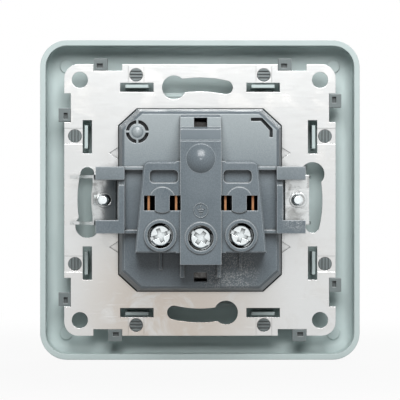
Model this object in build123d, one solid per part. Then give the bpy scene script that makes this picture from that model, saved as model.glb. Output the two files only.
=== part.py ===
"""Flush wall socket outlet with side earth contacts and spreading claws.

X points right and Z up as the outlet is seen from behind, Y points out of the wall into the room.
The origin is the centre of the support plate's wall face, so what is at negative Y sits in the wall box.
"""

import os
from build123d import *

# Driving dimensions in millimetres

# Cover frame
frame_side = 83.0
frame_corner = 7.0
frame_depth = 9.5
frame_rim = 1.4
frame_skin = 1.8
frame_edge_round = 3.0
frame_floor_round = 2.6
frame_lip = 1.0
frame_lip_rear = 4.5
frame_border = 6.25
frame_face = 14.7
mark_inset = 6.4
mark_radius = 1.65
mark_height = 0.4

# Centre cover with the plug well
cover_corner = 3.0
cover_gap = 0.2
cover_face = 10.3
cover_skin = 2.0
cover_skirt = 1.2
cover_skirt_foot = 3.6
cover_edge_round = 0.8
well_radius = 19.1
well_wall = 0.8
well_depth = 17.3
well_floor = 1.2
well_mouth_round = 1.2
guide_width = 5.0
guide_height = 2.1
guide_top = 3.0
pin_pitch = 19.0
pin_hole_radius = 2.45
earth_slot_cut = 1.0
countersink_room = 0.1

# Support plate
plate_corner = 3.6
plate_thick = 1.0
fixing_shift = 0.475
fixing_half_angle = 13.0
fixing_slot_width = 3.6
keyhole_radius = 3.1
corner_hole_inset = 4.05
corner_hole_radius = 2.1
snap_slot_length = 8.7
snap_slot_width = 2.4
snap_slot_along = 16.4
snap_slot_inset = 6.0
notch_start = 20.2
notch_end = 27.7
notch_depth = 1.7
peg_tab_width = 4.2
peg_tab_depth = 0.3
stake_z = 12.2
stake_half = 1.7
stake_reach = 2.3
stake_depth = 0.35

# Frame clips and the ribs of the frame
clip_thick = 1.6
clip_width = 2.8
peg_pad_half = 2.1
clip_relief = 11.5
clip_relief_width = 1.0
clip_left_end = 27.3
clip_right_end = 24.2
peg_along = 16.6
peg_inset = 2.75
peg_radius = 1.65
peg_clearance = 0.1
peg_groove = 0.35
hook_places = (-25.8, 22.1)
hook_width = 3.5
hook_reach = 1.5
hook_flush = 0.1
hook_recess = 0.9
hook_recess_side = 0.7
hook_recess_width = 1.6
hook_recess_rise = 1.1
rib_length = 6.0
rib_thick = 0.85
rib_offset = 0.3
rib_end = 0.3

# Moulded insert base
base_side_wall = 0.9
base_draft = 1.25
base_foot = -2.0
base_chamfer_x = 4.8
base_chamfer_z = 4.4
base_front = 1.6
base_rear = -16.8
base_edge = 0.6
plate_clearance = 0.3
well_clearance = 0.15
bracket_wall = 2.0
bracket_room = 1.45
tongue_room = 1.5
screw_room = 0.3
screw_end_room = 0.5
tower_half = 5.1
tower_rear = -28.0
tower_low = -16.0
tower_step = 14.6
tower_top = 21.2
tower_shelf = -21.5
tower_lean = 0.3
tower_brow = 2.4
tower_hollow = 2.9
tower_corner = 0.5
leg_width = 1.0
leg_low = -19.4
leg_rear = -21.0
window_half = 1.65
window_height = 2.3
window_place = 19.4
dome_place = 10.2
dome_radius = 3.6
dome_height = 1.7
dome_foot = 0.4
block_rear = -27.0
block_high = 9.6
block_low = -13.1
block_top_half = 14.1
block_low_half = 16.3
block_corner = 1.4
block_edge = 0.4
block_joint = 1.0
pocket_length = 7.0
pocket_width = 3.2
pocket_depth = 2.2
pocket_x = 9.1
pocket_z = 5.8
pin_disc_radius = 3.2
pin_disc_height = 0.5
leaf_window_width = 2.75
leaf_window_near = 1.8
leaf_window_low = -2.6
leaf_window_high = 1.1
divider_width = 0.8
divider_rise = 0.8
divider_low = -17.6
port_radius = 1.5
port_spread = 1.6
port_overlap = 1.2
knock_inset = 5.05
knock_drop = 6.3
knock_outer = 2.9
knock_inner = 2.05
knock_bridge = 0.5
knock_depth = 2.6
knock_dome = 0.5
gauge_width = 0.8
gauge_insets = ((8.25, 3.2), (5.55, 3.2), (3.15, 5.8), (3.15, 7.7))

# Line contacts
strip_thick = 0.6
leaf_spread = 3.4
leaf_grip = 1.9
leaf_half_height = 3.4
leaf_rear = -25.4
leaf_mouth = -8.9
leaf_straight = 4.0
leaf_flare = 1.4
leaf_web = 5.4
contact_room = 0.55
bend_ratio = 1.2

# Terminals
screw_x = 10.0
screw_z = -8.8
earth_screw_z = -9.4
head_radius = 2.65
head_height = 2.2
shank_radius = 1.7
shank_length = 5.0
head_round = 0.4
shank_room = 0.5
thread_clearance = 0.08
bore_radius = 3.15
collar_radius = 3.95
collar_height = 0.8
tail_place = -21.0
tail_thick = 0.8
wire_gap = 0.8
clamp_thick = 0.8
clamp_radius = 3.05
clamp_half = 2.3
clamp_turns = {"left": -12.0, "right": 20.0, "earth": 38.0}
screw_turns = {"left": -20.0, "right": 20.0, "earth": 35.0}
cross_width = 1.0
cross_length = 3.6
cross_depth = 1.6
slot_depth = 0.6

# Earth bracket
earth_width = 5.0
earth_thick = 0.8
earth_room = 0.3
earth_arm_top = 5.6
earth_proud = 1.7
earth_bend_start = -2.0
earth_bend_peak = 1.6
earth_flare = 1.2
tongue_start = -3.2
tongue_end = -12.9

# Centre screw
centre_head_radius = 2.7
centre_shank_radius = 1.5
centre_length = 7.0

# Claw housings, claws and claw screws
housing_sink = 1.95
housing_reach = 5.25
housing_half = 8.35
housing_lip = 5.05
housing_pocket = 6.75
housing_rear = -22.0
housing_lip_thick = 1.6
housing_web = 1.5
notch_size = 1.3
rail_thick = 0.8
rail_rear = -19.2
claw_gap = 0.5
claw_thick = 0.8
claw_width = 6.0
claw_web_place = -15.5
claw_half = 6.3
claw_front = -1.6
claw_tooth = 1.3
tooth_rise = 3.4
tooth_back = 1.6
tooth_slope = 0.6
claw_heel = 3.0
claw_bead_height = 0.5
claw_bead_wall = 0.45
claw_screw_reach = 3.4
claw_screw_radius = 1.25
claw_hole_clearance = 0.15
claw_max_swing = 24.0
claw_rest_swing = {"left": 22.0, "right": 0.0}
claw_screw_end = -20.8
claw_head_radius = 2.0
claw_head_height = 1.9
claw_screw_point = 0.3

# Derived places
plate_side = frame_side - 2 * frame_border
plate_edge = plate_side / 2
cover_side = frame_side - 2 * frame_face
mark_place = frame_side / 2 - mark_inset
corner_hole_out = plate_edge - corner_hole_inset
snap_slot_out = plate_edge - snap_slot_inset
peg_out = plate_edge - peg_inset
well_bottom = cover_face - well_depth
floor_level = well_bottom - well_floor
well_outer = well_radius + well_wall
bore_inner = well_outer + well_clearance
earth_reach = well_radius - earth_proud
pin_x = pin_pitch / 2
base_half = bore_inner + base_side_wall
bracket_half = bore_inner + bracket_room
base_top = bracket_half + bracket_wall
base_width = 2 * base_half
base_height = 2 * base_top
fixing_radius = (base_top + plate_clearance + plate_edge) / 2 + fixing_shift
knock_x = knock_inset - base_half
knock_z = base_top - knock_drop
gauge_points = [(base_half - inset, base_top - drop) for inset, drop in gauge_insets]
clamp_seat = tail_place - tail_thick / 2 - wire_gap
head_seat = clamp_seat - clamp_thick
rear_width = base_width - 2 * base_draft
rear_height = base_height - 2 * base_draft
pivot_x = base_half + claw_gap
claw_screw_x = base_half + claw_screw_reach
housing_inner = base_half - housing_sink
housing_outer = base_half + housing_reach
opening_side = cover_side + 2 * cover_gap
lip_side = opening_side + 2 * frame_lip
frame_floor = frame_depth - frame_skin
sides = {"top": 0, "right": -90, "bottom": 180, "left": 90}


def slab(sketch, start, end):
    """Extrudes an XZ outline from one Y to another."""
    return extrude(Plane.XZ.offset(-end) * sketch, amount=end - start, dir=(0, -1, 0))


def box(x0, x1, y0, y1, z0, z1):
    """Gives the box between two corners."""
    centre = Pos((x0 + x1) / 2, (y0 + y1) / 2, (z0 + z1) / 2)
    return centre * Box(abs(x1 - x0), abs(y1 - y0), abs(z1 - z0))


def post(radius, x, z, start, end):
    """Gives a round post along Y."""
    return slab(Pos(x, z) * Circle(radius), start, end)


def about_y(shape, degrees):
    """Turns a shape about the outlet's own axis, positive anticlockwise seen from behind."""
    return Rot(0, -degrees, 0) * shape


def bevelled(width, height, cut_x, cut_z):
    """Gives a rectangle with its four corners cut off."""
    half_w = width / 2
    half_h = height / 2
    corners = [
        (half_w, half_h - cut_z), (half_w - cut_x, half_h),
        (cut_x - half_w, half_h), (-half_w, half_h - cut_z),
        (-half_w, cut_z - half_h), (cut_x - half_w, -half_h),
        (half_w - cut_x, -half_h), (half_w, cut_z - half_h),
    ]
    return Polygon(*corners, align=None)


def strip(points, thickness, width, centre_x):
    """Bends a strip along YZ points, with its width across X."""
    path = FilletPolyline(*points, radius=bend_ratio * thickness)
    side = Plane(origin=(centre_x - width / 2, 0, 0), x_dir=(0, 1, 0), z_dir=(1, 0, 0))
    return extrude(side * trace(path, thickness), amount=width, dir=(1, 0, 0))


def save(shape, name):
    """Writes one piece under its own name."""
    export_step(shape, f"parts/{name}.step")


def cover_frame():
    """Makes the hollow frame with its lip, snap ribs and ejector marks."""
    outer = slab(RectangleRounded(frame_side, frame_side, frame_corner), 0, frame_depth)
    outer = fillet(outer.faces().sort_by(Axis.Y)[-1].edges(), frame_edge_round)
    inner_side = frame_side - 2 * frame_rim
    inner = slab(RectangleRounded(inner_side, inner_side, frame_corner - frame_rim), 0, frame_floor)
    inner = fillet(inner.faces().sort_by(Axis.Y)[-1].edges(), frame_floor_round)
    shell = outer - inner
    lip = RectangleRounded(lip_side, lip_side, cover_corner + frame_lip)
    shell += slab(lip, frame_lip_rear, frame_floor)
    shell -= slab(RectangleRounded(opening_side, opening_side, cover_corner), 0, frame_depth)
    rib_out = snap_slot_out + rib_offset
    for turn in sides.values():
        for along in (-snap_slot_along, snap_slot_along):
            rib = slab(Pos(along, rib_out) * Rectangle(rib_length, rib_thick), rib_end, frame_floor)
            shell += about_y(rib, turn)
        mark = post(mark_radius, mark_place, mark_place, frame_floor - mark_height, frame_floor)
        shell += about_y(mark, turn)
    return shell


def centre_cover():
    """Makes the face plate with the round plug well, its guides and its holes."""
    plate = slab(RectangleRounded(cover_side, cover_side, cover_corner), cover_skirt_foot, cover_face)
    plate = fillet(plate.faces().sort_by(Axis.Y)[-1].edges(), cover_edge_round)
    hollow = cover_side - 2 * cover_skirt
    under = RectangleRounded(hollow, hollow, cover_corner - cover_skirt)
    plate -= slab(under, cover_skirt_foot, cover_face - cover_skin)
    plate += post(well_outer, 0, 0, floor_level, cover_face - cover_skin / 2)
    well = post(well_radius, 0, 0, well_bottom, cover_face)
    plate -= well
    rim = plate.faces().sort_by(Axis.Y)[-1].edges().filter_by(GeomType.CIRCLE).sort_by(SortBy.LENGTH)[-1]
    plate = fillet(rim, well_mouth_round)
    guide_foot = well_radius - guide_height
    slot_half = earth_width / 2 + earth_room
    for sign in (-1, 1):
        low = sign * guide_foot
        high = sign * (well_outer - well_wall / 2)
        plate += box(low, high, well_bottom, cover_face - guide_top, -guide_width / 2, guide_width / 2)
        slot_low = sign * (well_radius - earth_slot_cut)
        slot_high = sign * (well_outer + earth_slot_cut)
        top = earth_arm_top + earth_slot_cut
        plate -= box(-slot_half, slot_half, floor_level, top, slot_low, slot_high)
        plate -= post(pin_hole_radius, sign * pin_x, 0, floor_level, well_bottom)
    plate -= countersink(countersink_room)
    return plate


def countersink(clearance):
    """Gives the centre screw's head and shank, grown by a clearance."""
    wide = centre_head_radius + clearance
    thin = centre_shank_radius + clearance
    head = Plane.XZ.offset(-well_bottom) * Circle(wide)
    neck = Plane.XZ.offset(-(well_bottom - wide + thin)) * Circle(thin)
    cone = loft([head, neck])
    return cone + post(thin, 0, 0, well_bottom - centre_length, well_bottom - wide + thin)


def centre_screw():
    """Makes the countersunk screw that holds the centre cover."""
    screw = countersink(0)
    return screw - cross_recess(0, 0, well_bottom, -1, 0)


def cross_recess(x, z, face, inward, turn):
    """Gives the cross of a driver recess, sunk from a face along Y."""
    low = min(face, face + inward * cross_depth)
    high = max(face, face + inward * cross_depth)
    one = Rectangle(cross_length, cross_width)
    cross = slab(one + Rot(0, 0, 90) * one, low, high)
    return Pos(x, 0, z) * Rot(0, turn, 0) * cross


def arc_slot():
    """Gives the curved fixing slot at the top of the plate with its keyhole end."""
    path = CenterArc((0, 0), fixing_radius, 90 - fixing_half_angle, 2 * fixing_half_angle)
    slot = trace(path, fixing_slot_width)
    slot += Pos(*(path @ 0)) * Circle(fixing_slot_width / 2)
    return slot + Pos(*(path @ 1)) * Circle(keyhole_radius)


def support_plate():
    """Makes the pressed steel plate that lies on the wall."""
    outline = RectangleRounded(plate_side, plate_side, plate_corner)
    room = 2 * plate_clearance
    outline -= bevelled(base_width + room, base_height + room, base_chamfer_x, base_chamfer_z)
    corner = corner_hole_out
    notch_mid = (notch_start + notch_end) / 2
    notch = Rectangle(notch_end - notch_start, 2 * notch_depth)
    slot = Rectangle(snap_slot_length, snap_slot_width)
    cuts = arc_slot() + Pos(corner, corner) * Circle(corner_hole_radius)
    for sign in (-1, 1):
        cuts += Pos(sign * notch_mid, plate_edge) * notch
        cuts += Pos(sign * snap_slot_along, snap_slot_out) * slot
        cuts += Pos(sign * peg_along, peg_out) * Circle(peg_radius + peg_clearance)
    for turn in sides.values():
        outline -= Rot(0, 0, turn) * cuts
    claw_hole = claw_screw_radius + claw_hole_clearance
    for sign in (-1, 1):
        outline -= Pos(sign * claw_screw_x, 0) * Circle(claw_hole)
    plate = slab(outline, 0, plate_thick)
    tab_inner = snap_slot_out + snap_slot_width / 2
    half = peg_tab_width / 2
    for turn in sides.values():
        for along in (-peg_along, peg_along):
            tab = box(along - half, along + half, 0, peg_tab_depth, tab_inner, plate_edge)
            plate -= about_y(tab, turn)
    for sign in (-1, 1):
        for z in (-stake_z, stake_z):
            plate -= stake_dent(sign, z)
    return plate


def stake_dent(sign, z):
    """Gives the three-cornered dent where the plate is staked against the base."""
    root = sign * base_half
    point = sign * (base_half + plate_clearance + stake_reach)
    outline = Polygon((root, z - stake_half), (point, z), (root, z + stake_half), align=None)
    return slab(outline, 0, stake_depth)


def frame_clip():
    """Makes the clip strip along the top edge with its hooks and grooved pegs."""
    outer = plate_edge - notch_depth - peg_clearance
    inner = outer - clip_width
    front = plate_thick + clip_thick
    clip = box(-clip_left_end, clip_right_end, plate_thick, front, inner, outer)
    clip -= box(-clip_relief, clip_relief, plate_thick, front, inner, outer - clip_relief_width)
    for along in (-peg_along, peg_along):
        clip += box(along - peg_pad_half, along + peg_pad_half, plate_thick, front, inner, plate_edge)
        clip += post(peg_radius, along, peg_out, hook_flush, plate_thick)
        for step in (-1, 0, 1):
            shift = step * peg_radius / 2
            groove = peg_groove / 2
            deep = hook_flush + peg_groove
            low = along - peg_radius - peg_groove
            high = along + peg_radius + peg_groove
            clip -= box(low, high, hook_flush, deep, peg_out + shift - groove, peg_out + shift + groove)
    for place in hook_places:
        clip += hook(place, outer, front)
    return clip


def hook(place, strip_edge, front):
    """Makes one hook at a place along the top edge, with the small recess in its rear face."""
    low = place - hook_width / 2
    high = place + hook_width / 2
    root = plate_edge - notch_depth + peg_clearance
    shape = box(low, high, plate_thick, front, strip_edge - clip_width / 2, root)
    shape += box(low, high, hook_flush, front, root, plate_edge + hook_reach)
    side = low + hook_recess_side
    foot = root + hook_recess_side
    deep = hook_flush + hook_recess
    return shape - box(side, side + hook_recess_width, hook_flush, deep, foot, foot + hook_recess_rise)


def terminal_bores(base, x, z):
    """Cuts one terminal's screw bore and the room for its tail out of the base."""
    base -= post(bore_radius, x, z, tower_rear - collar_height, tail_place - tail_thick)
    return base - post(shank_radius + shank_room, x, z, head_seat, floor_level)


def tower_profile():
    """Gives the side outline of the earth tower as YZ points, with its stepped top."""
    rise = (tower_top - tower_step) / 2
    return [
        (base_rear, tower_low), (tower_rear, tower_low), (tower_rear, tower_step),
        (tower_rear + tower_brow, tower_step + tower_lean),
        (tower_rear + tower_hollow, tower_step + rise - tower_lean),
        (tower_shelf, tower_step + rise + tower_lean), (tower_shelf, tower_top - tower_corner),
        (tower_shelf + tower_corner, tower_top), (base_rear, tower_top),
    ]


def terminal_block(sign):
    """Makes one flared terminal block with its collar, pin disc and wire divider."""
    outline = Polygon(
        (tower_half, block_high), (block_top_half, block_high),
        (block_low_half, block_low), (tower_half, block_low), align=None,
    )
    outline = fillet(outline.vertices().sort_by(Axis.Y)[-2:].sort_by(Axis.X)[-1], block_corner)
    block = slab(outline, block_rear, base_rear)
    block = chamfer(block.faces().sort_by(Axis.Y)[0].edges(), block_edge)
    inner = tower_half - block_joint
    outer = tower_half + block_joint
    block += box(inner, outer, block_rear, base_rear, block_low, block_high)
    block += post(collar_radius, screw_x, screw_z, block_rear - collar_height, base_rear)
    block += post(pin_disc_radius, pin_x, 0, block_rear - pin_disc_height, block_rear)
    low = screw_x - divider_width / 2
    high = screw_x + divider_width / 2
    block += box(low, high, base_rear - divider_rise, base_rear, divider_low, block_low)
    return block if sign > 0 else mirror(block, about=Plane.YZ)


def claw_housing(sign):
    """Makes one claw housing: two lipped arms, a notched web and two rails to the block."""
    lip_front = housing_rear + housing_lip_thick
    arms = box(housing_inner, housing_outer, housing_rear, 0, -housing_half, housing_half)
    arms -= box(base_half, housing_outer, lip_front, 0, -housing_pocket, housing_pocket)
    web_end = housing_inner + housing_web
    arms -= box(web_end, housing_outer, housing_rear, lip_front, -housing_lip, housing_lip)
    arms -= box(web_end, base_half, housing_rear, base_rear, -housing_lip, housing_lip)
    notch_low = housing_lip - notch_size
    arms -= box(housing_inner, web_end, housing_rear, housing_rear + notch_size, notch_low, housing_lip)
    for z in (-housing_half, housing_half - rail_thick):
        arms += box(tower_half, housing_inner, rail_rear, base_rear, z, z + rail_thick)
    return arms if sign > 0 else mirror(arms, about=Plane.YZ)


def base():
    """Makes the moulded insert base."""
    foot = bevelled(base_width, base_height, base_chamfer_x, base_chamfer_z)
    rear = bevelled(rear_width, rear_height, base_chamfer_x, base_chamfer_z)
    drafted = loft([Plane.XZ.offset(-base_rear) * rear, Plane.XZ.offset(-base_foot) * foot], ruled=True)
    drafted = chamfer(drafted.faces().sort_by(Axis.Y)[0].edges(), base_edge)
    body = drafted + slab(foot, base_foot, base_front)
    side = Plane(origin=(-tower_half, 0, 0), x_dir=(0, 1, 0), z_dir=(1, 0, 0))
    tower = extrude(side * Polygon(*tower_profile(), align=None), amount=2 * tower_half, dir=(1, 0, 0))
    body += tower
    body += post(collar_radius, 0, earth_screw_z, tower_rear - collar_height / 2, tower_rear)
    for sign in (-1, 1):
        body += terminal_block(sign)
        body += claw_housing(sign)
        inner = sign * (tower_half - leg_width)
        body += box(inner, sign * tower_half, leg_rear, base_rear, leg_low, tower_low)
    body -= post(bore_inner, 0, 0, floor_level, base_front)
    body = cut_base(body)
    body += dome(0, dome_place, tower_rear, dome_radius, dome_height)
    return body + dome(knock_x, knock_z, base_rear, knock_inner - knock_bridge, knock_dome)


def front_half():
    """Gives the room side of the base's parting plane, at the level of the contact floor."""
    return box(-frame_side, frame_side, floor_level, frame_side, -frame_side, frame_side)


def dome(x, z, face, radius, height):
    """Makes a round cap on a rear face, a spherical cap on a short foot sunk in the face."""
    sphere = (radius ** 2 + height ** 2) / (2 * height)
    middle = radius / 2
    middle_rise = (sphere ** 2 - middle ** 2) ** 0.5 - sphere + height
    outline = Curve() + [
        ThreePointArc((radius, 0), (middle, -middle_rise), (0, -height)),
        Polyline((0, -height), (0, dome_foot), (radius, dome_foot), (radius, 0)),
    ]
    seat = Plane(origin=(x, face, z), x_dir=(1, 0, 0), z_dir=(0, 0, 1))
    return revolve(seat * make_face(outline), Axis((x, 0, z), (0, 1, 0)))


def cut_base(body):
    """Cuts the base's channels, contact rooms, windows, wire ports and small openings."""
    groove = earth_width / 2 + earth_room
    bracket_rear = floor_level - earth_thick - earth_room
    body -= box(-groove, groove, bracket_rear, base_front, -bracket_half, bracket_half)
    tongue_low = tongue_end - earth_room
    tongue_rear = tail_place - tail_thick
    body -= box(-groove, groove, tongue_rear, floor_level, tongue_low, tongue_start + tongue_room)
    screw_end = well_bottom - centre_length - screw_end_room
    body -= post(centre_shank_radius + screw_room, 0, 0, screw_end, floor_level)
    body = terminal_bores(body, 0, earth_screw_z)
    half = leaf_spread + strip_thick + contact_room
    tall = leaf_half_height + contact_room
    for sign in (-1, 1):
        x = sign * pin_x
        room_rear = leaf_rear - contact_room
        body -= box(x - half, x + half, room_rear, floor_level, -tall - strip_thick, tall)
        tail = half - strip_thick
        body -= box(x - tail, x + tail, tongue_rear, floor_level, tongue_low, 0)
        body = terminal_bores(body, sign * screw_x, screw_z)
        for leaf in (-1, 1):
            low = x + leaf * leaf_window_near
            high = low + leaf * leaf_window_width
            body -= box(low, high, tower_rear, room_rear, leaf_window_low, leaf_window_high)
        pocket = RectangleRounded(pocket_length, pocket_width, pocket_width / 3)
        body -= slab(Pos(sign * pocket_x, pocket_z) * pocket, block_rear, block_rear + pocket_depth)
        low = sign * window_place - window_height / 2
        high = low + window_height
        body -= box(-window_half, window_half, tower_rear, bracket_rear, low, high)
        for port in (-port_spread, port_spread):
            body -= wire_port(sign * screw_x + port, block_low, screw_z)
        body -= wire_port(sign * port_spread, tower_low, earth_screw_z)
    body -= knock_out()
    return body - gauge_slot()


def wire_port(x, low, high):
    """Gives the round way in for one wire, from the underside up to the clamp."""
    centre = Plane(origin=(x, clamp_seat - clamp_thick / 2, low), z_dir=(0, 0, 1))
    length = high - low - bore_radius + port_overlap
    return extrude(centre * Circle(port_radius), amount=length, dir=(0, 0, 1))


def knock_out():
    """Gives the ring groove round the knock-out disc, less its four bridges."""
    ring = Circle(knock_outer) - Circle(knock_inner)
    bar = Rectangle(2 * knock_outer, knock_bridge)
    ring -= bar + Rot(0, 0, 90) * bar
    return slab(Pos(knock_x, knock_z) * ring, base_rear, base_rear + knock_depth)


def gauge_slot():
    """Gives the bent slot that follows the cut corner."""
    path = Polyline(*gauge_points)
    return slab(trace(path, gauge_width), base_rear, base_rear + knock_depth)


def line_contact(sign):
    """Makes one pole's folded contact: two sprung leaves, a web and a tapped tail."""
    gap = leaf_spread - leaf_grip
    path = Polyline(
        (leaf_spread, leaf_rear), (leaf_spread, leaf_rear + leaf_straight),
        (leaf_grip + strip_thick / 2, leaf_mouth - leaf_flare), (leaf_grip + gap, leaf_mouth),
    )
    leaf = trace(path, strip_thick)
    fold = Plane(origin=(0, 0, -leaf_half_height), x_dir=(1, 0, 0), z_dir=(0, 0, 1))
    leaves = fold * (leaf + mirror(leaf, about=Plane.YZ))
    contact = extrude(leaves, amount=2 * leaf_half_height, dir=(0, 0, 1))
    wide = leaf_spread + strip_thick / 2
    web_low = -leaf_half_height - strip_thick
    contact += box(-wide, wide, leaf_rear, leaf_rear + leaf_web, web_low, -leaf_half_height)
    tail_half = wide - strip_thick
    tail_rear = tail_place - tail_thick / 2
    contact += box(-tail_half, tail_half, tail_rear, tail_rear + tail_thick, tongue_end, web_low)
    hole = shank_radius + thread_clearance
    contact -= post(hole, screw_x - pin_x, screw_z, tail_rear, tail_rear + tail_thick)
    contact = contact if sign > 0 else mirror(contact, about=Plane.YZ)
    return Pos(sign * pin_x, 0, 0) * contact


def earth_bracket():
    """Makes the earth strip with its two sprung side clips and tapped tongue."""
    run = floor_level - earth_thick / 2 - earth_room / 2
    arm = bracket_half - earth_room - earth_thick / 2
    points = [
        (run, 0), (run, arm), (earth_bend_start, arm),
        (earth_bend_peak, earth_reach), (earth_arm_top, arm - earth_flare),
    ]
    half = strip(points, earth_thick, earth_width, 0)
    bracket = half + mirror(half, about=Plane.XY)
    tongue = [(run, tongue_start), (tail_place, tongue_start), (tail_place, tongue_end)]
    bracket += strip(tongue, tail_thick, earth_width, 0)
    hole = shank_radius + thread_clearance
    bracket -= post(hole, 0, earth_screw_z, tail_place - tail_thick, tail_place + tail_thick)
    return bracket - post(centre_shank_radius + thread_clearance, 0, 0, run - earth_thick, run + earth_thick)


def clamp_plate(x, z, turn):
    """Makes one clamp plate, a disc with two flats that is held under a screw's head."""
    outline = Circle(clamp_radius) & Rectangle(2 * clamp_radius, 2 * clamp_half)
    outline -= Circle(shank_radius + thread_clearance)
    plate = slab(outline, head_seat, clamp_seat)
    return Pos(x, 0, z) * Rot(0, turn, 0) * plate


def terminal_screw(x, z, turn):
    """Makes one cheese-head terminal screw with a cross and a slot."""
    top = head_seat - head_height
    head = post(head_radius, 0, 0, top, head_seat)
    head = fillet(head.faces().sort_by(Axis.Y)[0].edges(), head_round)
    screw = head + post(shank_radius, 0, 0, head_seat, head_seat + shank_length)
    screw -= box(-head_radius, head_radius, top, top + slot_depth, -cross_width / 2, cross_width / 2)
    screw -= cross_recess(0, 0, top, 1, 0)
    return Pos(x, 0, z) * Rot(0, turn, 0) * screw


def claw(side):
    """Makes one spreading claw: a slotted web, two toothed flanges and a bead round the slot."""
    web_rear = claw_web_place - claw_thick / 2
    web_front = web_rear + claw_thick
    cheek = Polygon(
        (0, web_rear), (claw_width, web_rear), (claw_width, claw_front - tooth_rise),
        (claw_width + claw_tooth, claw_front), (claw_width - tooth_back, claw_front - tooth_slope),
        (claw_gap, claw_front - claw_heel), align=None,
    )
    flat = Plane(origin=(0, 0, claw_half - claw_thick), x_dir=(1, 0, 0), z_dir=(0, 0, 1))
    flange = extrude(flat * cheek, amount=claw_thick, dir=(0, 0, 1))
    shape = flange + mirror(flange, about=Plane.XY)
    shape += box(0, claw_width, web_rear, web_front, -claw_half, claw_half)
    heel = Plane(origin=(0, claw_web_place, -claw_half), z_dir=(0, 0, 1))
    shape += extrude(heel * Circle(claw_thick / 2), amount=2 * claw_half, dir=(0, 0, 1))
    reach = claw_screw_x - pivot_x
    lean = Vector(1, 0, 0).rotate(Axis.Z, claw_max_swing)
    hole = claw_screw_radius + claw_hole_clearance
    far = reach / lean.X + hole * (1 / lean.X - 1) + claw_thick / 2 * lean.Y / lean.X
    slot = Pos((reach + far) / 2, 0) * SlotOverall(far - reach + 2 * hole, 2 * hole)
    ring = Pos((reach + far) / 2, 0) * SlotOverall(
        far - reach + 2 * hole + 2 * claw_bead_wall, 2 * hole + 2 * claw_bead_wall)
    shape += slab(ring, web_rear - claw_bead_height, web_rear)
    shape -= slab(slot, web_rear - claw_bead_height, web_front)
    pivot = Pos(0, claw_web_place, 0)
    swung = pivot * Rot(0, 0, -claw_rest_swing[side]) * pivot.inverse() * shape
    placed = Pos(pivot_x, 0, 0) * swung
    return placed if side == "right" else mirror(placed, about=Plane.YZ)


def claw_screw(side):
    """Makes one claw screw, its head on the room face of the plate."""
    top = plate_thick + claw_head_height
    x = claw_screw_x if side == "right" else -claw_screw_x
    head = post(claw_head_radius, 0, 0, plate_thick, top)
    head = fillet(head.faces().sort_by(Axis.Y)[-1].edges(), head_round)
    tail = post(claw_screw_radius, 0, 0, claw_screw_end, plate_thick)
    tail = chamfer(tail.faces().sort_by(Axis.Y)[0].edges(), claw_screw_point)
    half = cross_width / 2
    screw = head + tail - box(-claw_head_radius, claw_head_radius, top - slot_depth, top, -half, half)
    return Pos(x, 0, 0) * screw


os.makedirs("parts", exist_ok=True)
save(cover_frame(), "cover_frame")
save(centre_cover(), "centre_cover")
save(centre_screw(), "centre_screw")
save(support_plate(), "support_plate")
moulding = base()
save(moulding - front_half(), "base")
save(moulding & front_half(), "base_ring")
save(earth_bracket(), "earth_bracket")
save(clamp_plate(0, earth_screw_z, clamp_turns["earth"]), "earth_clamp_plate")
save(terminal_screw(0, earth_screw_z, screw_turns["earth"]), "earth_screw")
for side, turn in sides.items():
    save(about_y(frame_clip(), turn), f"frame_clip_{side}")
for side, sign in (("left", -1), ("right", 1)):
    save(line_contact(sign), f"line_contact_{side}")
    save(clamp_plate(sign * screw_x, screw_z, clamp_turns[side]), f"clamp_plate_{side}")
    save(terminal_screw(sign * screw_x, screw_z, screw_turns[side]), f"terminal_screw_{side}")
    save(claw(side), f"claw_{side}")
    save(claw_screw(side), f"claw_screw_{side}")
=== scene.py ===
"""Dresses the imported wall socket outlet, seen from behind, and sets its light and camera."""

import math

import bpy
import numpy as np
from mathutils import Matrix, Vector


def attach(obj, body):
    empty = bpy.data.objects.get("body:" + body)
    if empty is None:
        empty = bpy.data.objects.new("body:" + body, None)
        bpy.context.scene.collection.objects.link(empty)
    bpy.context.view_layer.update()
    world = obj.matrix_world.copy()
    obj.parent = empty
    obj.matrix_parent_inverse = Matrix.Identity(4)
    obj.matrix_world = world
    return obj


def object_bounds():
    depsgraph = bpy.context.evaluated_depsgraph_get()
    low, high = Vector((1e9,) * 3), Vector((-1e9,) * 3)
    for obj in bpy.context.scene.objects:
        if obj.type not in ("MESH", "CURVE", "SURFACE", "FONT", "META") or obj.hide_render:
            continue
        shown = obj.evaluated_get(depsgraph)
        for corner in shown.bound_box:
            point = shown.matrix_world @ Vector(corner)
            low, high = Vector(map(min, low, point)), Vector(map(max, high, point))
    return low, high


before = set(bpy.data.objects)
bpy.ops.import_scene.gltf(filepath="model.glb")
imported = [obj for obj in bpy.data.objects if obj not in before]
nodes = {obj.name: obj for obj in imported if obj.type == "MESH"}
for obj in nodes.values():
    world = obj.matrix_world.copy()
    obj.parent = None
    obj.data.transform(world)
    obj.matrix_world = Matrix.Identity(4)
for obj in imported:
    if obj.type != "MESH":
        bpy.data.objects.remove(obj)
cad_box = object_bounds()
MM = 0.001


# Shader helpers

FLOAT = "NodeSocketFloat"
VECTOR = "NodeSocketVector"


def add(tree, kind, inputs=None, **settings):
    """Adds one shader node, sets its properties and its unlinked inputs, and returns it."""
    node = tree.nodes.new(kind)
    for name, value in settings.items():
        setattr(node, name, value)
    for name, value in (inputs or {}).items():
        node.inputs[name].default_value = value
    return node


def join(tree, out, into):
    """Links an output socket to an input socket."""
    tree.links.new(out, into)


def maths(tree, operation, first, second=None, clamp=False):
    """Combines two values, each a socket or a number, and returns the result's socket."""
    node = add(tree, "ShaderNodeMath", operation=operation, use_clamp=clamp)
    for place, value in enumerate((first, second)):
        if value is None:
            continue
        if isinstance(value, (int, float)):
            node.inputs[place].default_value = value
        else:
            join(tree, value, node.inputs[place])
    return node.outputs[0]


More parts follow.
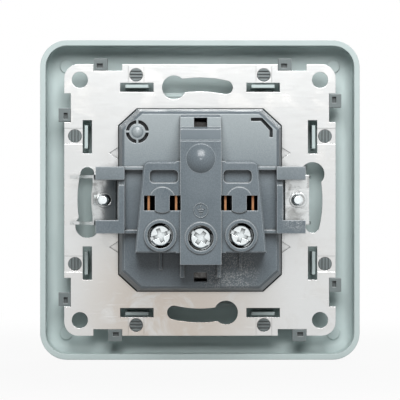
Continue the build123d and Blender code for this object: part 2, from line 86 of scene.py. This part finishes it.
def product(tree, first, *others):
    """Multiplies several masks, each a socket or a number, and returns the result's socket."""
    result = first
    for other in others:
        result = maths(tree, "MULTIPLY", result, other)
    return result


def ramp(tree, value, low, high, to_low=0.0, to_high=1.0):
    """Maps a value from one range to another with smooth ends and returns the result's socket."""
    node = add(tree, "ShaderNodeMapRange", interpolation_type="SMOOTHSTEP")
    join(tree, value, node.inputs["Value"])
    for name, number in zip(("From Min", "From Max", "To Min", "To Max"), (low, high, to_low, to_high)):
        node.inputs[name].default_value = number
    return node.outputs["Result"]


def blend_colours(tree, mask, first, second):
    """Mixes two colours, each a socket or three numbers, by a mask and returns the result's socket."""
    node = add(tree, "ShaderNodeMix", data_type="RGBA")
    join(tree, mask, node.inputs["Factor"])
    for place, colour in ((6, first), (7, second)):
        if isinstance(colour, tuple):
            node.inputs[place].default_value = (*colour, 1.0)
        else:
            join(tree, colour, node.inputs[place])
    return node.outputs[2]


def shade(colour, share):
    """Gives a colour with each of its parts at a share of its value."""
    return tuple(share * part for part in colour)


def object_place(tree):
    """Gives the socket of a point's place in the outlet's frame."""
    return add(tree, "ShaderNodeTexCoord").outputs["Object"]


def object_axes(tree):
    """Gives the sockets of a point's X, Y and Z in the outlet's frame."""
    split = add(tree, "ShaderNodeSeparateXYZ")
    join(tree, object_place(tree), split.inputs[0])
    return split.outputs


def distance_to(tree, point):
    """Gives the socket of the distance from a place, a socket or three numbers, in the outlet's frame."""
    far = add(tree, "ShaderNodeVectorMath", operation="DISTANCE")
    join(tree, object_place(tree), far.inputs[0])
    if isinstance(point, tuple):
        far.inputs[1].default_value = point
    else:
        join(tree, point, far.inputs[1])
    return far.outputs["Value"]


def noise(tree, place, **values):
    """Adds a noise over a place's socket with its values set, and returns its result's socket."""
    node = add(tree, "ShaderNodeTexNoise", values)
    join(tree, place, node.inputs["Vector"])
    return node.outputs["Fac"]


def stretched(tree, tilt, scale):
    """Gives the place in the outlet's frame, turned about Y and scaled differently along each axis."""
    node = add(tree, "ShaderNodeMapping", {"Rotation": (0.0, tilt, 0.0), "Scale": scale})
    join(tree, object_place(tree), node.inputs["Vector"])
    return node.outputs[0]


def new_group(name, inputs, outputs):
    """Starts a node group with named inputs and outputs and returns its tree and its two end nodes."""
    tree = bpy.data.node_groups.new(name, "ShaderNodeTree")
    for label, kind, value in inputs:
        socket = tree.interface.new_socket(label, in_out="INPUT", socket_type=kind)
        socket.default_value = value
    for label, kind in outputs:
        tree.interface.new_socket(label, in_out="OUTPUT", socket_type=kind)
    return tree, add(tree, "NodeGroupInput"), add(tree, "NodeGroupOutput")


def place_group(tree, group, **values):
    """Places a node group in a material with its own values and returns the node."""
    node = add(tree, "ShaderNodeGroup", node_tree=group)
    for name, value in values.items():
        node.inputs[name.replace("_", " ")].default_value = value
    return node


# Shared effects

def eased_edges_group():
    """Rounds the shading over sharp edges and masks them where the rounded normal leaves the flat one."""
    outputs = [("Normal", VECTOR), ("Edge", FLOAT)]
    tree, inside, out = new_group("eased edges", [("Radius", FLOAT, 0.15 * MM)], outputs)
    bevel = add(tree, "ShaderNodeBevel", samples=6)
    join(tree, inside.outputs["Radius"], bevel.inputs["Radius"])
    agreement = add(tree, "ShaderNodeVectorMath", operation="DOT_PRODUCT")
    join(tree, bevel.outputs[0], agreement.inputs[0])
    join(tree, add(tree, "ShaderNodeNewGeometry").outputs["Normal"], agreement.inputs[1])
    join(tree, bevel.outputs[0], out.inputs["Normal"])
    join(tree, ramp(tree, agreement.outputs["Value"], 0.99, 0.8), out.inputs["Edge"])
    return tree


def side_walls_group():
    """Masks faces that look along the outlet's depth and walls that run along it, by their normal's Y."""
    tree, _, out = new_group("side walls", [], [("Faces", FLOAT), ("Walls", FLOAT)])
    facing = add(tree, "ShaderNodeSeparateXYZ")
    join(tree, add(tree, "ShaderNodeTexCoord").outputs["Normal"], facing.inputs[0])
    depth_share = maths(tree, "ABSOLUTE", facing.outputs["Y"])
    join(tree, ramp(tree, depth_share, 0.8, 0.95), out.inputs["Faces"])
    join(tree, ramp(tree, depth_share, 0.6, 0.3), out.inputs["Walls"])
    return tree


def crevice_group():
    """Masks corners and narrow gaps, where little of the half sphere over the surface is open and shade
    falls, for painted shade.
    """
    tree, inside, out = new_group("crevice", [("Reach", FLOAT, 1.5 * MM)], [("Mask", FLOAT)])
    open_share = add(tree, "ShaderNodeAmbientOcclusion", samples=8)
    join(tree, inside.outputs["Reach"], open_share.inputs["Distance"])
    join(tree, ramp(tree, open_share.outputs["AO"], 0.85, 0.25), out.inputs["Mask"])
    return tree


def grain_group():
    """Adds two noises: a broad one for uneven tone and a fine one for the spark-eroded moulding grain."""
    tree, _, out = new_group("moulding grain", [], [("Tone", FLOAT), ("Height", FLOAT)])
    place = object_place(tree)
    fine = noise(tree, place, Scale=3800.0, Detail=3.0, Roughness=0.6)
    broad = noise(tree, place, Scale=90.0, Detail=4.0, Roughness=0.55, Distortion=0.4)
    join(tree, ramp(tree, broad, 0.32, 0.68), out.inputs["Tone"])
    join(tree, fine, out.inputs["Height"])
    return tree


def rolled_sheet_group():
    """Stretches one noise into rolling lines, and thresholds others into stains and short scratches."""
    outputs = [("Stain", FLOAT), ("Scratch", FLOAT), ("Height", FLOAT)]
    tree, inside, out = new_group("rolled sheet", [("Stain Scale", FLOAT, 160.0)], outputs)
    stain = add(tree, "ShaderNodeTexNoise", {"Detail": 6.0, "Roughness": 0.62, "Distortion": 0.8})
    join(tree, object_place(tree), stain.inputs["Vector"])
    join(tree, inside.outputs["Stain Scale"], stain.inputs["Scale"])
    along = stretched(tree, 0.35, (160.0, 900.0, 3000.0))
    across = stretched(tree, -0.8, (120.0, 400.0, 1500.0))
    scores = noise(tree, across, Scale=1.0, Detail=2.0, Roughness=0.4)
    join(tree, ramp(tree, stain.outputs["Fac"], 0.46, 0.7), out.inputs["Stain"])
    join(tree, ramp(tree, scores, 0.66, 0.74), out.inputs["Scratch"])
    join(tree, noise(tree, along, Scale=1.0, Detail=3.0, Roughness=0.5), out.inputs["Height"])
    return tree


def dust_group():
    """Puts small pale specks where a cell's centre is near, inside a ball that fades towards its edge."""
    inputs = [("Centre", VECTOR, (0.0, 0.0, 0.0)), ("Reach", FLOAT, 8.0 * MM)]
    tree, inside, out = new_group("dust", inputs, [("Mask", FLOAT)])
    far = distance_to(tree, inside.outputs["Centre"])
    part_way = maths(tree, "DIVIDE", far, inside.outputs["Reach"])
    near = maths(tree, "SUBTRACT", 1.0, part_way, clamp=True)
    cells = add(tree, "ShaderNodeTexVoronoi", {"Scale": 3800.0}, feature="F1")
    join(tree, object_place(tree), cells.inputs["Vector"])
    specks = ramp(tree, cells.outputs["Distance"], 0.5, 0.28)
    clumps = noise(tree, object_place(tree), Scale=520.0, Detail=4.0, Roughness=0.65)
    amount = maths(tree, "MULTIPLY", near, ramp(tree, clumps, 0.36, 0.54, 0.0, 2.2))
    join(tree, maths(tree, "MULTIPLY", specks, amount, clamp=True), out.inputs["Mask"])
    return tree


eased_edges = eased_edges_group()
side_walls = side_walls_group()
crevice = crevice_group()
grain = grain_group()
rolled_sheet = rolled_sheet_group()
dust = dust_group()


# Materials. Each stretch runs from where its mask is nothing to where it is full.

# The base's floor and the tower's shelf are painted paler higher up: painted light, as if lit more from
# above.
PAINTED_LIGHT_RISE = (-2 * MM, 24 * MM)
PAINTED_LIGHT_REAR = (-26 * MM, -22 * MM)
PAINTED_LIGHT_FRONT = (-15.4 * MM, -16.4 * MM)
BROW_FOOT = (14.3 * MM, 14.8 * MM)
BROW_TOP = (17.6 * MM, 17.3 * MM)
BROW_DEPTH = (-22.5 * MM, -23.5 * MM)
BROW_ROUGHNESS = 0.7
# Edges take this share of a paler edge colour: a painted highlight.
EDGE_HIGHLIGHT_SHARE = 0.7
# Plastics darken in crevices towards a share of their dark tone: dirt and painted shade.
PLASTIC_GRIME_AND_SHADE = 0.12
DUST_COLOUR = (0.52, 0.54, 0.54)
DUST_SPOTS = (
    ((7.5 * MM, -17 * MM, -18.5 * MM), 8.5 * MM),
    ((24 * MM, -20 * MM, -4 * MM), 5 * MM),
)
# The plate is painted warmer and darker around a middle low down, near the base's lower end: a painted
# reflection with shade.
REFLECTION_MIDDLE = (-7 * MM, 0.0, -29 * MM)
REFLECTION_STRETCH = (34 * MM, 6 * MM)
REFLECTION_SHARE = 0.9
SCRATCH_SHARE = 0.5
# Metals darken in crevices towards a share of their stained tone: painted shade.
METAL_CREVICE_SHADE = 0.1
STAIN_ROUGHNESS = 0.05
# Over a stretch of depth inside the base the contacts are near black and matt: the black is painted shade.
INSIDE_SHADE_TONE = 0.04
INSIDE_SHADE_REAR = (-25.3 * MM, -24.8 * MM)
INSIDE_SHADE_FRONT = (-13 * MM, -14.5 * MM)


def new_material(name, metallic, **constants):
    """Starts a material with one Principled shader whose plain values are set on its own sockets."""
    material = bpy.data.materials.new(name)
    material.use_nodes = True
    tree = material.node_tree
    shader = tree.nodes["Principled BSDF"]
    shader.inputs["Metallic"].default_value = metallic
    for label, value in constants.items():
        shader.inputs[label.replace("_", " ")].default_value = value
    return material, tree, shader


def bump(tree, shader, height, normal, strength, distance):
    """Lays a bump over the eased normal and joins it to the shader."""
    node = add(tree, "ShaderNodeBump", {"Strength": strength, "Distance": distance})
    join(tree, height, node.inputs["Height"])
    join(tree, normal, node.inputs["Normal"])
    join(tree, node.outputs[0], shader.inputs["Normal"])


def with_grime_and_shade(tree, colour, deep, grime_and_shade):
    """Darkens a colour towards a deep one in crevices, by a reach and a share: painted shade, with some dirt
    on plastics.
    """
    reach, share = grime_and_shade
    mask = place_group(tree, crevice, Reach=reach).outputs["Mask"]
    return blend_colours(tree, product(tree, mask, share), colour, deep)


def lit_upper_floor_mask(tree, faces):
    """Masks the base's floor and the tower's shelf, more so higher up, where they look along the depth: the
    place of painted light.
    """
    place = object_axes(tree)
    upper = ramp(tree, place["Z"], *PAINTED_LIGHT_RISE)
    rear = ramp(tree, place["Y"], *PAINTED_LIGHT_REAR)
    front = ramp(tree, place["Y"], *PAINTED_LIGHT_FRONT)
    return product(tree, upper, rear, front, faces)


def brow_mask(tree):
    """Masks the sloped brow of the base's tower by its height and depth."""
    place = object_axes(tree)
    above = ramp(tree, place["Z"], *BROW_FOOT)
    below = ramp(tree, place["Z"], *BROW_TOP)
    behind = ramp(tree, place["Y"], *BROW_DEPTH)
    return product(tree, above, below, behind)


def moulded(name, tones, edge, roughness, wall_roughness, gloss, radius, grime_and_shade, pale=None, dust_spots=()):
    """A satin moulded plastic: uneven tone, grain, paler edges that are a painted highlight, and dirt with
    painted shade in crevices.

    With a pale tone it has a paler upper floor, which is painted light, and a matt brow, as the base does. It
    may have dust.
    """
    material, tree, shader = new_material(name, 0.0, Specular_IOR_Level=gloss)
    skin = place_group(tree, grain)
    ease = place_group(tree, eased_edges, Radius=radius)
    walls = place_group(tree, side_walls)
    dark, light = tones
    colour = blend_colours(tree, skin.outputs["Tone"], dark, light)
    rough = ramp(tree, skin.outputs["Height"], 0.3, 0.7, roughness - 0.05, roughness + 0.07)
    rough = maths(tree, "MAXIMUM", rough, product(tree, walls.outputs["Walls"], wall_roughness))
    # A paler upper floor: painted light.
    if pale:
        colour = blend_colours(tree, lit_upper_floor_mask(tree, walls.outputs["Faces"]), colour, pale)
        rough = maths(tree, "MAXIMUM", rough, product(tree, brow_mask(tree), BROW_ROUGHNESS))
    # Paler edges: a painted highlight.
    colour = blend_colours(tree, product(tree, ease.outputs["Edge"], EDGE_HIGHLIGHT_SHARE), colour, edge)
    # Darker in crevices: dirt and painted shade.
    colour = with_grime_and_shade(tree, colour, shade(dark, PLASTIC_GRIME_AND_SHADE), grime_and_shade)
    for centre, reach in dust_spots:
        spot = place_group(tree, dust, Centre=centre, Reach=reach)
        colour = blend_colours(tree, spot.outputs["Mask"], colour, DUST_COLOUR)
    join(tree, colour, shader.inputs["Base Color"])
    join(tree, rough, shader.inputs["Roughness"])
    bump(tree, shader, skin.outputs["Height"], ease.outputs["Normal"], 0.25, 0.03 * MM)
    return material


def sheet_metal(name, tones, scratched, roughness, radius, stain_scale, grime_and_shade, painted_reflection=None, painted_shade_inside=False):
    """A plated sheet or turned metal: rolling lines, stains, scratches and painted shade in crevices.

    With a warmer tone for low down it is warmer and darker there: a painted reflection with shade, as on the
    plate.
    The contacts inside the base are near black, a painted shade, and matt over a stretch of their depth.
    """
    material, tree, shader = new_material(name, 1.0)
    skin = place_group(tree, rolled_sheet, Stain_Scale=stain_scale)
    ease = place_group(tree, eased_edges, Radius=radius)
    plain, stained = tones
    stain = skin.outputs["Stain"]
    colour = blend_colours(tree, stain, plain, stained)
    # Warmer and darker low down: a painted reflection with shade.
    if painted_reflection:
        lower = ramp(tree, distance_to(tree, REFLECTION_MIDDLE), *REFLECTION_STRETCH, 0.0, REFLECTION_SHARE)
        colour = blend_colours(tree, lower, colour, blend_colours(tree, stain, painted_reflection, stained))
    colour = blend_colours(tree, product(tree, skin.outputs["Scratch"], SCRATCH_SHARE), colour, scratched)
    # Darker in crevices: painted shade.
    colour = with_grime_and_shade(tree, colour, shade(stained, METAL_CREVICE_SHADE), grime_and_shade)
    lined = ramp(tree, skin.outputs["Height"], 0.3, 0.7, roughness - 0.02, roughness + 0.02)
    rough = maths(tree, "ADD", ramp(tree, stain, 0.0, 1.0, 0.0, STAIN_ROUGHNESS), lined)
    # Near black inside the base: painted shade.
    if painted_shade_inside:
        depth = object_axes(tree)["Y"]
        within = product(tree, ramp(tree, depth, *INSIDE_SHADE_REAR), ramp(tree, depth, *INSIDE_SHADE_FRONT))
        colour = blend_colours(tree, within, colour, shade(plain, INSIDE_SHADE_TONE))
        rough = maths(tree, "MAXIMUM", rough, within)
        join(tree, maths(tree, "SUBTRACT", 1.0, within), shader.inputs["Metallic"])
    join(tree, colour, shader.inputs["Base Color"])
    join(tree, rough, shader.inputs["Roughness"])
    bump(tree, shader, skin.outputs["Height"], ease.outputs["Normal"], 0.06, 0.02 * MM)
    return material


# The plastics' edge colours are painted highlights.
FINISHES = {
    "cover_plastic": moulded(
        "cover plastic", tones=((0.515, 0.605, 0.598), (0.54, 0.63, 0.623)), edge=(0.61, 0.695, 0.685),
        roughness=0.4, wall_roughness=0.45, gloss=0.3, radius=0.3 * MM, grime_and_shade=(6.0 * MM, 0.2)),
    # The base's pale tone is painted light on its upper floor.
    "base_plastic": moulded(
        "base plastic", tones=((0.112, 0.141, 0.161), (0.143, 0.174, 0.196)), edge=(0.74, 0.79, 0.81),
        roughness=0.26, wall_roughness=0.5, gloss=0.5, radius=0.4 * MM, grime_and_shade=(1.2 * MM, 0.9),
        pale=(0.36, 0.405, 0.42), dust_spots=DUST_SPOTS),
    "clip_plastic": moulded(
        "clip plastic", tones=((0.150, 0.180, 0.182), (0.178, 0.208, 0.210)), edge=(0.50, 0.55, 0.55),
        roughness=0.34, wall_roughness=0.5, gloss=0.45, radius=0.25 * MM, grime_and_shade=(1.2 * MM, 0.7)),
    # The plate's warmer tone for low down is a painted reflection with shade.
    "plate_steel": sheet_metal(
        "plate steel", tones=((0.68, 0.69, 0.688), (0.63, 0.63, 0.62)), scratched=(0.74, 0.74, 0.74),
        roughness=0.21, radius=0.12 * MM, stain_scale=110.0, grime_and_shade=(2.2 * MM, 0.6), painted_reflection=(0.53, 0.475, 0.42)),
    "claw_steel": sheet_metal(
        "claw steel", tones=((0.62, 0.64, 0.64), (0.31, 0.315, 0.31)), scratched=(0.76, 0.77, 0.77),
        roughness=0.25, radius=0.15 * MM, stain_scale=330.0, grime_and_shade=(1.0 * MM, 0.4)),
    "screw_zinc": sheet_metal(
        "screw zinc", tones=((0.78, 0.83, 0.84), (0.62, 0.65, 0.66)), scratched=(0.86, 0.90, 0.90),
        roughness=0.24, radius=0.1 * MM, stain_scale=600.0, grime_and_shade=(0.9 * MM, 0.9)),
    "earth_steel": sheet_metal(
        "earth steel", tones=((0.68, 0.68, 0.67), (0.48, 0.46, 0.43)), scratched=(0.78, 0.78, 0.77),
        roughness=0.27, radius=0.1 * MM, stain_scale=350.0, grime_and_shade=(3.0 * MM, 0.9)),
    # The brass is painted near black over a stretch of its depth inside the base: painted shade.
    "contact_brass": sheet_metal(
        "contact brass", tones=((0.34, 0.17, 0.085), (0.16, 0.08, 0.045)), scratched=(0.60, 0.36, 0.21),
        roughness=0.34, radius=0.1 * MM, stain_scale=500.0, grime_and_shade=(1.2 * MM, 0.6), painted_shade_inside=True),
}
NODE_FINISH = {
    "cover_frame": "cover_plastic", "centre_cover": "cover_plastic", "centre_screw": "screw_zinc",
    "support_plate": "plate_steel", "base": "base_plastic", "base_ring": "base_plastic",
    "earth_bracket": "earth_steel", "earth_clamp_plate": "screw_zinc", "earth_screw": "screw_zinc",
}
for edge in ("top", "right", "bottom", "left"):
    NODE_FINISH[f"frame_clip_{edge}"] = "clip_plastic"
for side in ("left", "right"):
    NODE_FINISH[f"line_contact_{side}"] = "contact_brass"
    NODE_FINISH[f"clamp_plate_{side}"] = "screw_zinc"
    NODE_FINISH[f"terminal_screw_{side}"] = "screw_zinc"
    NODE_FINISH[f"claw_{side}"] = "claw_steel"
    NODE_FINISH[f"claw_screw_{side}"] = "screw_zinc"
for name, finish in NODE_FINISH.items():
    nodes[name].data.materials.clear()
    nodes[name].data.materials.append(FINISHES[finish])


# Pieces of the scene's own, in millimetres

TOWER_REAR = -28.0
SIGN_MIDDLE = -2.55
SIGN_RADIUS = 1.75
SIGN_RING_WIDTH = 0.34
SIGN_BAR_WIDTH = 0.3
SIGN_HEIGHT = 0.24
SIGN_STEM = (0.5, 0.33)
SIGN_BARS = ((0.14, 0.62), (-0.2, 0.44), (-0.53, 0.25))
RIDGE_SINK = 0.04
RIDGE_END_STEPS = 3.0
PIN_PITCH = 19.0
SHUTTER_HALF = 4.1
SHUTTER_WIDTH = 7.6
SHUTTER_HEIGHT = 0.45
SHUTTER_FACE = -8.25
CLAW_SCREW_X = 24.35
THREAD_RADIUS = 1.25
THREAD_ENDS = (-20.2, -0.3)
THREAD_PITCH = 0.5
THREAD_DEPTH = 0.07
THREAD_STEPS = 20


def mesh_piece(name, points, faces, finish, body, smooth=False):
    """Puts arrays of points and faces into a mesh object at the origin that rides on a body."""
    mesh = bpy.data.meshes.new(name)
    mesh.from_pydata(points.reshape(-1, 3).tolist(), [], faces.tolist())
    mesh.polygons.foreach_set("use_smooth", np.full(len(mesh.polygons), smooth))
    mesh.update()
    piece = bpy.data.objects.new(name, mesh)
    bpy.context.scene.collection.objects.link(piece)
    mesh.materials.append(FINISHES[finish])
    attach(piece, body)


def grid_faces(rows, columns, close_rows=False, close_columns=False):
    """Gives the four-cornered faces of a grid of points, closed round either way if asked."""
    row = np.arange(rows if close_rows else rows - 1)[:, None]
    column = np.arange(columns if close_columns else columns - 1)[None, :]
    next_row = (row + 1) % rows
    next_column = (column + 1) % columns
    corners = [row * columns + column, row * columns + next_column,
               next_row * columns + next_column, next_row * columns + column]
    return np.stack(np.broadcast_arrays(*corners), axis=-1).reshape(-1, 4)


def moulded_ridge(path, closed, width, height, face):
    """Carries a half-round profile along a flat path on a rear face.

    Round the profile the side step is its cosine and the rise its sine, and the lower half is only
    sunk a little into the face. At an open path's ends the profile shrinks to nothing.
    """
    ahead = np.roll(path, -1, axis=0) - np.roll(path, 1, axis=0) if closed else np.gradient(path, axis=0)
    unit = ahead / np.linalg.norm(ahead, axis=1, keepdims=True)
    across = np.stack([unit[:, 1], -unit[:, 0]], axis=1)
    end = np.minimum(np.arange(len(path)), np.arange(len(path))[::-1])
    swell = np.ones(len(path)) if closed else np.sqrt(np.clip(end / RIDGE_END_STEPS, 0.0, 1.0))
    turn = np.linspace(0.0, 2.0 * np.pi, 12, endpoint=False)
    step = np.cos(turn)[None, :, None] * (width / 2) * (swell[:, None] * across)[:, None, :]
    rise = np.where(np.sin(turn) > 0, height, RIDGE_SINK) * np.sin(turn) * swell[:, None]
    flat = path[:, None, :] + step
    points = np.stack([flat[..., 0], face - rise, flat[..., 1]], axis=-1) * MM
    return points, grid_faces(len(path), len(turn), close_rows=closed, close_columns=True)


def merge(parts):
    """Joins several grids of points and faces into one list of each."""
    starts = np.cumsum([0] + [points.reshape(-1, 3).shape[0] for points, _ in parts[:-1]])
    points = np.concatenate([points.reshape(-1, 3) for points, _ in parts])
    return points, np.concatenate([faces + start for (_, faces), start in zip(parts, starts)])


def earth_sign(middle, radius, face):
    """Raises the circled earth sign: a ring, a stem from the top and three bars, each shorter downwards.

    The stem and the bars are given as shares of the radius.
    """
    turn = np.linspace(0.0, 2.0 * np.pi, 64, endpoint=False)
    ring = np.stack([np.cos(turn), np.sin(turn)], axis=1) * radius + (0.0, middle)
    parts = [moulded_ridge(ring, True, SIGN_RING_WIDTH, SIGN_HEIGHT, face)]
    run = np.linspace(-1.0, 1.0, 17)
    stem_middle, stem_half = SIGN_STEM
    stem = np.stack([0.0 * run, middle + radius * (stem_middle + stem_half * run)], axis=1)
    parts.append(moulded_ridge(stem, False, SIGN_BAR_WIDTH, SIGN_HEIGHT, face))
    for level, half in SIGN_BARS:
        bar = np.stack([radius * half * run, middle + radius * level + 0.0 * run], axis=1)
        parts.append(moulded_ridge(bar, False, SIGN_BAR_WIDTH, SIGN_HEIGHT, face))
    return merge(parts)


def pin_shutter(middle, half, width, height, face):
    """Lays one wide, low ridge behind a pin hole: a thin plate, flat to the hole and crowned behind."""
    run = np.linspace(-half, half, 17)
    return moulded_ridge(np.stack([middle + run, 0.0 * run], axis=1), False, width, height, face)


def screw_thread(axis_x, radius, ends, pitch, depth):
    """Winds a V-shaped ridge round an axis along Y: the angle grows with the run, a turn for each pitch.

    At both ends the ridge shrinks to nothing over half a turn.
    """
    low, high = ends
    turns = (high - low) / pitch
    run = np.linspace(0.0, 1.0, int(turns * THREAD_STEPS))[:, None]
    angle = 2.0 * np.pi * turns * run
    swell = np.clip(np.minimum(run, 1.0 - run) * turns * 2.0, 0.0, 1.0)
    along = low + (high - low) * run + np.array([[-0.42, 0.0, 0.42, 0.0]]) * pitch * swell
    out = radius + np.array([[-0.02, 1.0, -0.02, -0.9]]) * depth * swell
    points = np.stack([axis_x + out * np.cos(angle), along, out * np.sin(angle)], axis=-1)
    return points * MM, grid_faces(len(run), 4, close_columns=True)


sign = earth_sign(SIGN_MIDDLE, SIGN_RADIUS, TOWER_REAR)
mesh_piece("earth_sign", *sign, "base_plastic", "socket", smooth=True)
for side, hand in (("left", -1), ("right", 1)):
    shutter = pin_shutter(hand * PIN_PITCH / 2, SHUTTER_HALF, SHUTTER_WIDTH, SHUTTER_HEIGHT, SHUTTER_FACE)
    mesh_piece(f"pin_shutter_{side}", *shutter, "base_plastic", "socket", smooth=True)
for side, hand in (("left", -1), ("right", 1)):
    thread = screw_thread(hand * CLAW_SCREW_X, THREAD_RADIUS, THREAD_ENDS, THREAD_PITCH, THREAD_DEPTH)
    mesh_piece(f"claw_screw_thread_{side}", *thread, "screw_zinc", f"claw_screw_{side}")


# Light, floor and camera

WORLD_LEVEL = 0.04
FLOOR_HALF = 1.5
FLOOR_GREY = 0.2
FLOOR_WHITE_NEAR = 0.93
FLOOR_WHITE_STRETCH = (0.06, 0.22)
KEY_PLACE = (0.02, -0.41, 0.28)
KEY_SIZE = 0.3
KEY_POWER = 2.9
ROOM_PLACE = (0.2, 0.9, 0.6)
ROOM_SIZE = 0.7
ROOM_POWER = 15.0
EYE_X = -4 * MM
EYE_DISTANCE = 545 * MM


def soft_lamp(name, place, size, power):
    """Hangs a square area lamp at a place, turned to the outlet's middle."""
    lamp = bpy.data.lights.new(name, "AREA")
    lamp.size = size
    lamp.energy = power
    holder = bpy.data.objects.new(name, lamp)
    holder.location = place
    x, y, z = place
    holder.rotation_euler = (math.atan2(math.hypot(x, y), z), 0.0, math.atan2(x, -y))
    bpy.context.scene.collection.objects.link(holder)


def seen_mask(tree):
    """Gives 1 for rays that show the background itself, straight, mirrored or through glass."""
    path = add(tree, "ShaderNodeLightPath")
    seen = maths(tree, "ADD", path.outputs["Is Camera Ray"], path.outputs["Is Glossy Ray"])
    return maths(tree, "ADD", seen, path.outputs["Is Transmission Ray"], clamp=True)


def white_world(level):
    """Fills the world with plain light of one level, which shows as white where it is seen."""
    world = bpy.data.worlds.new("studio")
    world.use_nodes = True
    tree = world.node_tree
    strength = ramp(tree, seen_mask(tree), 0.0, 1.0, level, 1.0)
    join(tree, strength, tree.nodes["Background"].inputs["Strength"])
    tree.nodes["Background"].inputs["Color"].default_value = (1.0, 1.0, 1.0, 1.0)
    bpy.context.scene.world = world


def pale_floor(level, half):
    """Lays a flat square floor under the outlet, mostly white where it is seen, with its shadow kept."""
    corners = [(-half, -half, level), (half, -half, level), (half, half, level), (-half, half, level)]
    mesh = bpy.data.meshes.new("floor")
    mesh.from_pydata(corners, [], [(0, 1, 2, 3)])
    floor = bpy.data.objects.new("floor", mesh)
    bpy.context.scene.collection.objects.link(floor)
    material, tree, shader = new_material("floor paint", 0.0, Roughness=0.9, Specular_IOR_Level=0.1)
    shader.inputs["Base Color"].default_value = (FLOOR_GREY, FLOOR_GREY, FLOOR_GREY, 1.0)
    glow = add(tree, "ShaderNodeEmission", {"Strength": 1.0})
    mix = add(tree, "ShaderNodeMixShader")
    share = ramp(tree, distance_to(tree, (0.0, 0.0, 0.0)), *FLOOR_WHITE_STRETCH, FLOOR_WHITE_NEAR, 1.0)
    join(tree, product(tree, seen_mask(tree), share), mix.inputs[0])
    join(tree, shader.outputs[0], mix.inputs[1])
    join(tree, glow.outputs[0], mix.inputs[2])
    join(tree, mix.outputs[0], tree.nodes["Material Output"].inputs["Surface"])
    mesh.materials.append(material)


white_world(WORLD_LEVEL)
pale_floor(cad_box[0][2], FLOOR_HALF)
soft_lamp("key", KEY_PLACE, KEY_SIZE, KEY_POWER)
soft_lamp("room side", ROOM_PLACE, ROOM_SIZE, ROOM_POWER)

camera = bpy.data.cameras.new("camera")
camera.lens = 188.8
camera.sensor_width = 36.0
camera.clip_start = 0.01
eye = bpy.data.objects.new("camera", camera)
eye.location = (EYE_X, -EYE_DISTANCE, 0.0)
eye.rotation_euler = (math.pi / 2, 0.0, math.atan2(EYE_X, EYE_DISTANCE))
bpy.context.scene.collection.objects.link(eye)
bpy.context.scene.camera = eye
bpy.context.scene.view_settings.view_transform = "Standard"
